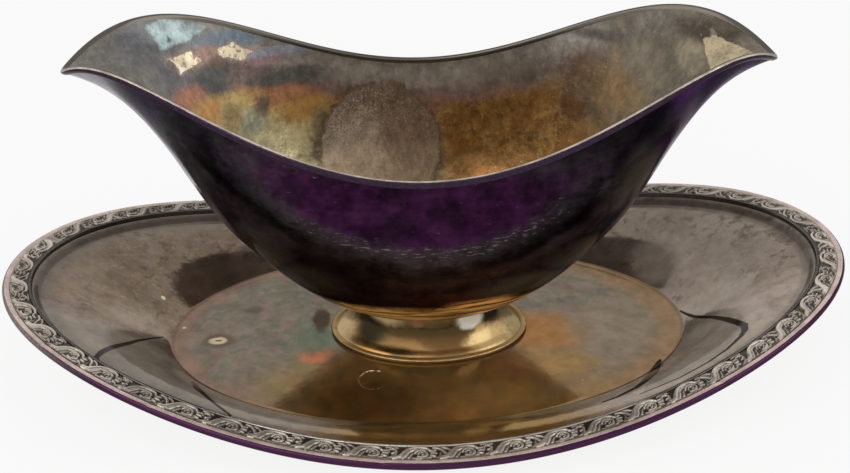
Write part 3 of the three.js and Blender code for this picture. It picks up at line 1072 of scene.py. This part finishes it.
outsideTarnish = {
    "from": 17,  # millimetres up, where the steps of colour start
    "tall": 75,
    "heights": [  # share of that height, and the colour there
        # the golden lowest steps are a painted reflection of the gilt foot
        (0.0, (0.75, 0.4, 0.12)),
        (0.06, (0.5, 0.24, 0.06)),
        (0.11, (0.2, 0.1, 0.035)),
        (0.2, (0.066, 0.036, 0.026)),
        (0.33, (0.064, 0.039, 0.034)),
        (0.45, (0.062, 0.048, 0.046)),
        (0.65, (0.052, 0.046, 0.046)),
        (1.0, (0.05, 0.046, 0.048)),
    ],
    "reflectedPurple": (0.013, 0.0042, 0.0125),
    "reflectedPurplePale": (0.026, 0.0063, 0.024),
    "bandLift": 0.0055,  # how fast the band of painted purple reflection rises with the rim towards the lips
    # where the golden glow, a painted reflection of the gilt foot, the purple band, a painted reflection of
    # a purple cloth, and the painted dark shade round it lie
    "glow": {"at": (12, -33, 29.5), "size": (9, 12, 3.2), "edge": 1.0, "ragged": 0.5},
    "band": {"at": (-5, -41, 61.5), "size": (43, 30, 11.5), "edge": 0.6, "ragged": 0.5},
    "bandShade": {"at": (-1, -41, 61.5), "size": (67, 46, 17.8), "edge": 0.26, "ragged": 0.3},
    "lowBrown": [
        stain((-44, -27, 46), (8, 9, 7), (0.02, 0.013, 0.007), 0.6, 1.2),
        stain((-32, -31, 38.5), (9, 9, 5), (0.018, 0.011, 0.005), 0.6, 1.2),
        stain((22, -34, 35.8), (11, 9, 3.8), (0.045, 0.031, 0.017), 0.7, 1.2),
        stain((36, -31, 42.5), (7, 8, 4.5), (0.02, 0.0135, 0.008), 0.6, 1.2),
        stain((51, -30, 64), (6, 9, 10), (0.032, 0.025, 0.019), 0.6, 1.2),
    ],
    "reflectedPurpleBack": {"at": (8, 41, 63), "size": (38, 20, 8), "edge": 0.9, "ragged": 0.7, "strength": 0.6},
    "spots": [
        # the pale grey stain on the left lip is a painted highlight, and the purple ones on both lips a
        # painted reflection of a purple cloth
        stain((-88, -8, 88), (16, 24, 9), (0.21, 0.21, 0.215), 0.3, 0.9),
        stain((-73, -22, 84), (7, 7, 7), (0.035, 0.022, 0.06), 0.4, 0.9),
        stain((76, -20, 85), (20, 24, 12), (0.062, 0.011, 0.08), 0.3, 0.7),
        stain((70, -12, 72), (16, 24, 12), (0.066, 0.01, 0.075), 0.4, 0.9),
        stain((49, -30, 54), (9, 14, 10), (0.12, 0.108, 0.095), 0.8, 1.1),
        stain((-27, -36, 43), (15, 16, 9), (0.022, 0.015, 0.012), 0.8, 1.3),
        stain((60, -22, 62), (9, 14, 12), (0.05, 0.022, 0.055), 0.4, 1.0),
        stain((88, 0, 82), (14, 40, 14), (0.07, 0.014, 0.085), 0.4, 0.9),
    ],
    "scuffs": (0.16, 0.14, 0.14),
    "glowColour": (1.0, 0.5, 0.15),
    "footReflectionColour": (0.85, 0.47, 0.13),
    "edgeTint": (0.14, 0.03, 0.17),
}


def makeOutsideTarnish():
    p = outsideTarnish
    material, shader, place = newMaterial("outsideTarnish")
    x, y, z = [axisOf(place, axis) for axis in "XYZ"]
    clouds = grain(place, 11, 4, 0.6)
    ragged = grain(place, 3, 5, 0.65)
    height = (z - p["from"]) / p["tall"] + around(clouds, 0.1)
    colour = colourSteps(height, p["heights"])
    hairs = grain(place, 0.8, 2, 0.6, stretch=(0.35, 1, 1.6))
    blotches = grain(place, 8, 4, 0.6)
    # the purple band, at the front and faintly at the back, is a painted reflection of a purple cloth
    reflectedPurple = blend(ease(blotches, 0.38, 0.62), p["reflectedPurple"], p["reflectedPurplePale"])
    level = place - joined(0, 0, x * x * p["bandLift"])
    band = spotShare(level, ragged, p["band"])
    colour = blend(band, colour, reflectedPurple)
    colour = blend(spotShare(level, ragged, p["reflectedPurpleBack"]), colour, reflectedPurple)
    colour *= ease(height, 0.3, 0.5, 1.0, ease(x, -55, 55, 1.35, 0.8))
    # painted dark shade in a ring round the purple band, at the front
    shade = spotShare(level, clouds, p["bandShade"]) * (1.0 - band)
    shade *= ease(y, -10, -22)
    deepest = ease(abs(x), 5, 30, 0.5, 0.2)
    colour *= ease(shade, 0, 1, 1.0, deepest)
    colour = paintSpots(colour, place, clouds, p["spots"])
    colour *= ease(grain(place, 5, 6, 0.7), 0.3, 0.7, 0.6, 1.4)

    # fine scuffs, most of them along the band's lower edge, where they are a painted reflection of the
    # scroll border
    bandEdge = band * (1.0 - band)
    borderReflection = ease(hairs, 0.56, 0.66) * ease(bandEdge, 0.1, 0.24) * ease(z, 62, 54, 0.0, 0.6)
    scuffsAndBorderReflection = ease(hairs, 0.68, 0.74) * ease(ragged, 0.45, 0.62)
    scuffsAndBorderReflection = larger(borderReflection, scuffsAndBorderReflection * 0.5)
    colour = blend(scuffsAndBorderReflection, colour, p["scuffs"])

    # upright streaks low down, brown and golden towards the foot; the golden glow and the golden strip are a
    # painted reflection of the gilt foot
    streaks = grain(place, 1.4, 2, 0.5, stretch=(0.1, 0.1, 1.0))
    brown = None
    for spot in p["lowBrown"]:
        share = spotShare(place, clouds, spot)
        colour = blend(share, colour, spot["colour"])
        brown = larger(brown, share) if brown else share
    colour *= ease(streaks, 0.4, 0.6, ease(ease(z, 34, 26), 0, 1, 1.0, 0.5), 1.15)
    glow = spotShare(place, ragged, p["glow"]) * ease(streaks, 0.42, 0.56, 0.25, 1.0)
    colour = blend(glow, colour, p["glowColour"])
    footward = ease(z + around(ragged, 3), 31.5, 28)
    footward *= ease(streaks, 0.4, 0.6, 0.45, 1.0)
    colour = blend(footward, colour, p["footReflectionColour"])
    glow = larger(larger(glow, footward), brown)

    # coloured places are duller, but the right lip is bright
    metallic = ease(ease(abs(x), 48, 64), 0, 1, 0.9, 0.68) - glow * 0.65
    metallic = larger(metallic, ease(x, 54, 68, 0.0, 0.88))
    metallic *= ease(x, -72, -84, 1.0, 0.35)  # the left lip is dull
    roughness = ease(clouds, 0.3, 0.7, 0.09, 0.2) + ease(x, 56, 70, 0.0, 0.12)
    finish(shader, colour, roughness, metallic, [(clouds, 0.2), (hairs, 0.004)], p["edgeTint"], 0.2)
    return material


standSilver = {
    "bandColour": (0.27, 0.218, 0.17),
    "bandPale": (0.33, 0.28, 0.23),
    "bandDark": (0.15, 0.105, 0.08),
    "frontPaleReflection": (0.38, 0.315, 0.255),
    "boatReflectionColour": (0.28, 0.238, 0.188),
    "boatReflections": [  # x and y of the corners of two painted reflections of the boat, dark arrowheads on the front of the band
        [(-78.8, -3.3), (-83.4, -13.4), (-89.1, -34.1), (-89, -42), (-75, -55), (-53, -52)],
        [(77.1, 1.0), (82.3, -12.8), (85.2, -28.5), (77.5, -38.6), (62.9, -46.0), (52, -49)],
    ],
    "floorGreen": (0.21, 0.195, 0.14),
    "floorLilac": (0.27, 0.21, 0.17),
    "fringeRight": (0.33, 0.2, 0.1),
    # colour of the painted golden reflection
    "gold": (0.34, 0.215, 0.075),
    # painted reflection of the boat's golden bottom and foot, below the boat's front, on the floor and on
    # the band
    "reflectedGoldFloor": {"at": (-2, -34, 0.9), "size": (44, 24, 30), "edge": 0.9, "ragged": 0.8},
    "reflectedGoldBand": {"at": (4, -54, 3), "size": (33, 22, 30), "edge": 0.8, "ragged": 0.6},
    "boatReflectionEdges": [  # x, y and half width along the dark edges of the painted reflections of the boat on the front of the band
        [(-78.8, -3.3, 0.16), (-81.4, -8.2, 0.24), (-83.4, -13.4, 0.43), (-85.2, -20.2, 0.68),
         (-87.1, -26.1, 0.84), (-88.5, -30.7, 0.81), (-89.1, -34.1, 0.61), (-87.3, -39.0, 0.41)],
        [(-66.2, -29.3, 0.68), (-63.5, -37.2, 0.94), (-60.7, -41.7, 0.61), (-58.1, -45.4, 0.47),
         (-53.5, -50.5, 0.41)],
        [(77.1, 1.0, 0.2), (79.2, -5.8, 0.46), (82.3, -12.8, 0.57), (83.7, -18.5, 0.84),
         (84.5, -23.6, 0.97), (85.2, -28.5, 1.0), (84.3, -31.7, 0.81), (82.4, -34.3, 0.61),
         (77.5, -38.6, 0.38), (71.2, -42.4, 0.3), (62.9, -46.0, 0.24), (51.9, -48.8, 0.16)],
        [(64.8, -22.7, 0.41), (62.3, -27.4, 1.35), (58.7, -35.6, 1.76), (55.4, -40.8, 1.08),
         (52.5, -43.8, 0.81), (46.5, -46.9, 0.47), (42.6, -47.8, 0.27)],
    ],
    "spots": [
        stain((34, -6, 0.9), (13, 10, 6), (0.4, 0.2, 0.075), 1.2, 0.9),
        stain((54, -4, 0.9), (13, 12, 6), (0.31, 0.245, 0.17), 1.0, 1.0, 0.7),
        # the next four stains, in front of the foot, are a painted reflection of the gilt foot, with a
        # bright painted glint
        stain((23, -22.4, 0.9), (5, 4, 4), (0.75, 0.56, 0.22), 0.9, 1.0),
        stain((-20.5, -36, 0.9), (14, 11, 6), (0.16, 0.09, 0.03), 1.0, 1.3),
        stain((17, -38, 0.9), (13, 9, 6), (0.46, 0.33, 0.12), 1.0, 1.3, 0.7),
        stain((30, -22, 0.9), (16, 7, 6), (0.36, 0.22, 0.09), 1.0, 0.9),
        stain((-33.4, -11.7, 0.9), (4.4, 4.4, 5), (0.6, 0.19, 0.09), 1.4, 0.8),
        stain((-34, -4, 0.9), (8, 8, 5), (0.17, 0.19, 0.13), 1.0, 0.9),
        stain((-32.5, 6, 0.9), (2.6, 6, 5), (0.09, 0.062, 0.042), 0.9, 0.6),
        stain((-87.5, -4, 6), (8, 6, 12), (0.42, 0.345, 0.28), 1.2, 1.4, 0.6),
        stain((86, -2, 6), (10, 7, 12), (0.36, 0.3, 0.245), 1.2, 1.4, 0.6),
        stain((-53.4, 12.7, 0.9), (3, 2, 5), (0.15, 0.12, 0.1), 1.2, 0.9),
        # these two dark stains are a painted reflection of the boat
        stain((-67, 33, 3), (10, 9, 6), (0.12, 0.088, 0.055), 0.8, 1.2, 0.55),
        stain((-69, 48, 4), (11, 9, 6), (0.11, 0.082, 0.055), 0.9, 1.3, 0.65),
        stain((-62.9, -3.3, 0.9), (4.6, 3.4, 5), (0.17, 0.13, 0.1), 0.6, 0.5),
        stain((-62.9, -3.3, 0.9), (2.4, 1.7, 3), (0.62, 0.5, 0.33), 0.9, 0.5),
        stain((-62.8, -3.2, 0.9), (1.0, 0.34, 3), (0.12, 0.09, 0.06), 0.5, 0.5),
        stain((-80.8, 12.6, 4.6), (0.8, 0.7, 4), (0.75, 0.68, 0.55), 0.4, 0.3),
        stain((-74, 4.5, 2.5), (0.7, 0.6, 4), (0.6, 0.55, 0.45), 0.4, 0.3),
    ],
    "dullPlaces": [  # on the right of the band, towards the back
        {"at": (71, 42, 3.5), "size": (11, 8, 8), "ragged": 0.7, "edge": 0.9},
        {"at": (77, 25, 3.5), "size": (9, 10, 8), "ragged": 0.7, "edge": 0.9},
    ],
    "scratch": {"at": (-17.2, -25.8, 0.9), "size": (4.1, 4.3, 40)},
    "bandWarmer": (0.84, 0.76, 0.68),
    "frontReflectionBrighter": (1.32, 1.3, 1.3),
    "bandPink": (0.27, 0.2, 0.165),
    "bandScuffs": (0.38, 0.325, 0.27),
    "bandStreaks": (0.42, 0.36, 0.3),
    "nearWall": (0.22, 0.205, 0.178),
    "beadShadowLine": (0.05, 0.042, 0.034),
    "floorPink": (0.27, 0.185, 0.14),
    "floorDark": (0.15, 0.16, 0.12),
    "floorMottle": (0.13, 0.1, 0.08),
    "floorScuffs": (0.34, 0.29, 0.22),
    "fringeLeft": (0.33, 0.18, 0.13),
    "boatReflectionLine": (0.022, 0.016, 0.011),
    "creaseLine": (0.12, 0.085, 0.06),
    "scratchColour": (1.0, 0.85, 0.6),
    "specks": (0.5, 0.45, 0.38),
}


def lineShare(place, line):
    # share of a dark line through places with their own half widths
    flat = place * (1, 1, 0)
    least = None
    for (x, y, half), (nextX, nextY, nextHalf) in zip(line, line[1:]):
        run = np.array([nextX - x, nextY - y])
        away = flat - (x, y, 0)
        t = clamped(dot(away, (*(run / (run @ run)), 0)))
        step = joined(t * float(run[0]), t * float(run[1]), 0)
        gap = length(away - step) - t * (nextHalf - half) - half
        least = gap if least is None else smaller(least, gap)
    return ease(least, 0.18, -0.12)


def makeStandSilver():
    p = standSilver
    material, shader, place = newMaterial("standSilver")
    x, y = axisOf(place, "X"), axisOf(place, "Y")
    clouds = grain(place, 14, 4, 0.6)
    ragged = grain(place, 4, 5, 0.65)
    fine = grain(place, 1.1, 4, 0.7)
    oval = length(place * (1 / standPlate["creaseHalfLength"], 1 / standPlate["creaseHalfWidth"], 0))
    onFloor = ease(oval, 1.012, 1.0)  # the crease is where oval is 1

    # the band
    band = blend(ease(clouds, 0.35, 0.65), p["bandColour"], p["bandPale"])
    band *= blend(ease(x, -35, -75), (1, 1, 1), p["bandWarmer"])
    # the front of the band is painted paler, a painted reflection of bright surroundings, and brighter still
    # on the right to make up for the real reflection of the boat
    front = ease(y + around(ragged, 6), -6, -18)
    band = blend(front * 0.85, band, p["frontPaleReflection"])
    brighter = blend(front * ease(x, 30, 60), (1, 1, 1), p["frontReflectionBrighter"])
    band *= brighter
    # the arrowheads are a painted reflection of the boat, filled with a darker colour
    for corners in p["boatReflections"]:
        share = panelShare(place, ragged, {"corners": corners, "across": "Y", "ragged": 0.5, "edge": 0.8})
        band = blend(share, band, brighter * p["boatReflectionColour"])
    mottle = grain(place, 3.6, 6, 0.7, stretch=(0.75, 1, 1), warp=0.5)
    mottled = ease(mottle, 0.5, 0.6) * ease(y, -24, 4, 0.15, 0.85)
    mottled *= ease(grain(place, 16, 3, 0.5), 0.36, 0.54)
    band = blend(mottled, band, p["bandDark"])
    pinkish = ease(grain(place, 7, 4, 0.6), 0.5, 0.64) * 0.55
    band = blend(pinkish, band, p["bandPink"])
    scuffs = grain(place, 1.3, 4, 0.75, stretch=(0.5, 1.6, 1))
    band = blend(ease(scuffs, 0.56, 0.7, 0, 0.75), band, p["bandScuffs"])
    streaks = grain(place, 1.1, 3, 0.7, stretch=(0.22, 1.3, 1))
    streaked = ease(streaks, 0.54, 0.7, 0, 0.35) * ease(x, -45, -70)
    band = blend(streaked, band, p["bandStreaks"])
    fromEdge = valueOf(shader, "fromEdge")
    nearWall = ease(fromEdge + around(ragged, 4), 14, 11.5) * ease(x, 20, -60)
    band = blend(nearWall * 0.45, band, p["nearWall"])
    # painted shadow of the bead as a dark line on the small wall, and painted shade darkening the wall on
    # the right
    beadShadowLine = ease(abs(fromEdge - 8.9), 1.0, 0.3) * ease(y, -30, -5, 0.25, 0.5)
    band = blend(beadShadowLine, band, p["beadShadowLine"])
    shadeAtWall = ease(fromEdge, 12, 10) * ease(x, 20, 60)
    band *= ease(shadeAtWall, 0, 1, 1.0, 0.76)

    # the flat floor, with a golden fringe inside the crease
    floor = blend(ease(ragged, 0.4, 0.6), p["floorGreen"], p["floorLilac"])
    cloudier = grain(place, 7, 5, 0.65, warp=0.5)
    floor = blend(ease(cloudier, 0.5, 0.62, 0, 0.65), floor, p["floorPink"])
    floor = blend(ease(cloudier, 0.44, 0.36, 0, 0.6), floor, p["floorDark"])
    floor = blend(ease(mottle, 0.58, 0.66, 0, 0.45), floor, p["floorMottle"])
    floor = blend(ease(scuffs, 0.58, 0.68, 0, 0.4), floor, p["floorScuffs"])
    rightward = ease(x, 10, 55, 0.55, 0.85)
    narrow = ease(x, 0, 50, 0.91, 0.8)
    fringe = ease(oval + around(ragged, 0.14), narrow, 0.985)
    fringeColour = blend(ease(x, -40, 40), p["fringeLeft"], p["fringeRight"])
    floor = blend(fringe * rightward, floor, fringeColour)

    # both together, with stains, the painted golden reflection of the foot, the dark outlines of the painted
    # reflection of the boat, the crease line and the bright curved scratch
    colour = blend(onFloor, band, floor)
    # painted golden reflection of the foot and the boat's bottom
    reflectedGold = spotShare(place, clouds, p["reflectedGoldFloor"])
    reflectedGoldBand = spotShare(place, clouds, p["reflectedGoldBand"])
    reflectedGold = ease(onFloor, 0, 1, reflectedGoldBand, reflectedGold)
    colour = blend(reflectedGold, colour, p["gold"])
    colour = paintSpots(colour, place, ragged, p["spots"])
    # dark outlines of the painted reflection of the boat
    for edgeLine in p["boatReflectionEdges"]:
        colour = blend(lineShare(place, edgeLine), colour, p["boatReflectionLine"])
    line = ease(abs(oval - 1.0), 0.012, 0.0)
    colour = blend(line * 0.45, colour, p["creaseLine"])
    away = (place - p["scratch"]["at"]) / p["scratch"]["size"]
    scratch = abs(length(away) - 1.0)
    scratch = ease(scratch, 0.09, 0.03) * ease(axisOf(away, "X"), 0.65, 0.5)
    scratch *= ease(axisOf(away, "Y"), 0.3, 0.8, 0.14, 1.0)
    scratch *= ease(fine, 0.42, 0.52)
    colour = blend(scratch, colour, p["scratchColour"])
    colour *= ease(grain(place, 6, 6, 0.7), 0.3, 0.7, 0.84, 1.15)
    specks = ease(grain(place, 0.6, 1, 0.4), 0.77, 0.8)
    colour = blend(specks * 0.7, colour, p["specks"])

    # the front of the band and the small wall are dull
    roughness = ease(clouds, 0.3, 0.7, 0.08, 0.14) + mottled * 0.1
    dull = front * (1.0 - reflectedGold) * (1.0 - onFloor)
    dull = larger(dull, ease(fromEdge, 11.5, 9.8))
    for spot in p["dullPlaces"]:
        dull = larger(dull, spotShare(place, clouds, spot) * (1.0 - onFloor))
    metallic = ease(dull, 0, 1, 0.75, 0.2) * (1.0 - scratch)
    finish(shader, colour, roughness, metallic, [(clouds, 0.1), (fine, 0.003)], gloss=0.15)
    return material


def wornMetal(name, dull, pale, side, roughness=0.2, rubbedFrom=0.62, within=None, purpleReflection=None,
              farCrest=None, crestMetal=0.85):
    # between dull and pale on its crest, and dark down its sides
    material, shader, place = newMaterial(name)
    crest = valueOf(shader, "crest")
    clouds = grain(place, 7, 4, 0.6)
    fine = grain(place, 0.8, 4, 0.7)
    rubbed = blend(ease(clouds, 0.35, 0.65), dull, pale)
    rubbed = blend(ease(fine, 0.55, 0.68), rubbed, tuple(0.55 * c for c in dull))
    if farCrest:  # the crest is darker on the far side
        rubbed = blend(ease(axisOf(place, "Y"), 2, 12), rubbed, farCrest)
    ranging = 1 - rubbedFrom
    edge = crest + around(fine, ranging * 0.8) + around(clouds, ranging * 0.6)
    top = rubbedFrom + ranging * 0.6
    sideColour = blend(ease(fine, 0.4, 0.7), side, tuple(1.5 * c for c in side))
    # a painted reflection of a purple cloth down the side, where the piece carries one
    if purpleReflection:
        sideColour = blend(valueOf(shader, "purpleReflection"), sideColour, purpleReflection)
    colour = blend(ease(edge, rubbedFrom, top), sideColour, rubbed)
    if within:
        colour = blend(valueOf(shader, "within"), colour, within)
    metallic = ease(edge, rubbedFrom, top, 0.85, crestMetal)
    finish(shader, colour, roughness, metallic, [(clouds, 0.05), (fine, 0.01)], greyTint)
    return material


reliefSilver = {
    "heights": [  # share of the relief's full height, and the colour there
        (0.0, (0.085, 0.075, 0.066)),
        (0.35, (0.2, 0.178, 0.157)),
        (0.7, (0.42, 0.38, 0.34)),
        (1.0, (0.72, 0.66, 0.6)),
    ],
    "darker": (0.85, 0.81, 0.75),
    "lighter": (1.15, 1.11, 1.06),
}


def makeReliefSilver():
    p = reliefSilver
    material, shader, place = newMaterial("reliefSilver")
    clouds = grain(place, 12, 3, 0.6)
    fine = grain(place, 0.7, 4, 0.7)
    colour = colourSteps(valueOf(shader, "relief") + around(fine, 0.24), p["heights"])
    colour *= blend(ease(clouds, 0.35, 0.65), p["darker"], p["lighter"])
    colour *= ease(axisOf(place, "Y"), 20, 50, 1.0, 0.55)  # darker at the back
    finish(shader, colour, 0.22, 0.7, [(fine, 0.012)], greyTint)
    return material


footGiltAndReflections = {
    "from": 2,  # millimetres up, where the steps of colour start
    "tall": 14,
    "heights": [  # share of that height, and the colour there
        # the dark middle band is a painted reflection of a dark room, and the paler band under the neck a
        # painted reflection too
        (0.0, (0.3, 0.19, 0.075)),
        (0.1, (0.24, 0.145, 0.05)),
        (0.2, (0.19, 0.1, 0.034)),
        (0.36, (0.085, 0.05, 0.016)),
        (0.5, (0.07, 0.047, 0.016)),
        (0.62, (0.27, 0.19, 0.088)),
        (0.8, (0.4, 0.29, 0.13)),
        (1.0, (0.3, 0.2, 0.08)),
    ],
    "spots": [
        # most of these are painted reflections on the gilt: the pale and bright patches, the two dark ovals
        # and the near-white painted highlight at the front right
        stain((-27, 2, 5), (5, 14, 5), (0.68, 0.49, 0.25), 0.8, 1.0),
        stain((26, 2, 6), (6, 14, 6), (0.42, 0.31, 0.15), 0.8, 1.0),
        stain((-15, -10, 10.5), (6, 6, 1.8), (0.78, 0.62, 0.33), 0.8, 1.0),
        stain((-17.4, -9.4, 6), (5.4, 5.4, 3.1), (0.035, 0.028, 0.012), 0.5, 0.8),
        stain((-12, -17, 3.2), (7, 4, 1.1), (0.07, 0.045, 0.015), 0.7, 1.0),
        stain((18, -5, 9), (3.6, 5, 2.2), (0.05, 0.042, 0.02), 0.5, 0.7),
        stain((11.6, -11, 10.0), (4.2, 5, 2.6), (1.0, 0.98, 0.86), 0.5, 0.6),
        stain((14.5, -11.8, 6.6), (1.8, 3, 1.4), (0.6, 0.36, 0.15), 0.8, 0.8),
        stain((18, -13, 4.2), (7.5, 7, 2.6), (0.85, 0.62, 0.28), 0.9, 0.9),
        stain((-18, -14, 2.1), (6, 4, 0.5), (0.7, 0.38, 0.12), 0.7, 0.8),
        stain((-4, -13.5, 10.2), (1.6, 4, 0.8), (0.42, 0.2, 0.12), 1.2, 1.2),
    ],
    "specks": (0.16, 0.1, 0.05),
}


def makeFootGold():
    p = footGiltAndReflections
    material, shader, place = newMaterial("footGold")
    clouds = grain(place, 8, 4, 0.6)
    ragged = grain(place, 2.5, 5, 0.65)
    height = (axisOf(place, "Z") - p["from"]) / p["tall"] + around(clouds, 0.16)
    colour = colourSteps(height, p["heights"])
    colour = paintSpots(colour, place, ragged, p["spots"])
    specks = ease(grain(place, 0.7, 3, 0.6), 0.66, 0.72)
    colour = blend(specks * 0.6, colour, p["specks"])
    roughness = ease(ragged, 0.35, 0.65, 0.15, 0.24)
    metallic = 0.8 - axisOf(colour, "X") * 0.6  # its palest places are the dullest
    finish(shader, colour, roughness, metallic, [(clouds, 0.12), (ragged, 0.012)])
    return material


fixingBrass = {
    "dark": (0.36, 0.25, 0.11),
    "light": (0.52, 0.4, 0.2),
}


def makeFixingBrass():
    p = fixingBrass
    material, shader, place = newMaterial("fixingBrass")
    rings = grain(place, 1.5, 3, 0.6, stretch=(1, 1, 6))
    colour = blend(ease(rings, 0.35, 0.65), p["dark"], p["light"])
    finish(shader, colour, ease(rings, 0.3, 0.7, 0.25, 0.4), 0.95, [(rings, 0.02)])
    return material


dress(stand, makeStandSilver())
dress(edge, wornMetal("edgeSilver", dull=(0.58, 0.45, 0.4), pale=(0.8, 0.64, 0.57), side=(0.2, 0.17, 0.15),
                      purpleReflection=(0.055, 0.018, 0.048), crestMetal=0.3))
dress(bead, wornMetal("beadSilver", dull=(0.4, 0.36, 0.31), pale=(0.56, 0.52, 0.46), side=(0.1, 0.09, 0.08)))
dress(ornament, makeReliefSilver())
dress(bowl, makeOutsideTarnish(), makeInsideTarnish())
paintInside(bowl)
dress(rim, wornMetal("rimSilver", dull=(0.5, 0.42, 0.35), pale=(0.8, 0.68, 0.56), side=(0.032, 0.018, 0.032),
                     rubbedFrom=0.91, within=(0.135, 0.12, 0.1), farCrest=(0.13, 0.115, 0.095)))
dress(footShell, makeFootGold())
dress(footRing, wornMetal("footWireGold", dull=(0.38, 0.25, 0.1), pale=(0.54, 0.37, 0.17),
                          side=(0.2, 0.12, 0.045), roughness=0.28, rubbedFrom=0.5, crestMetal=0.6))
brass = makeFixingBrass()
for node in ("boss", "stud", "washer", "nut"):
    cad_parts[node].data.materials.clear()
    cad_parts[node].data.materials.append(brass)
print("finishes made")
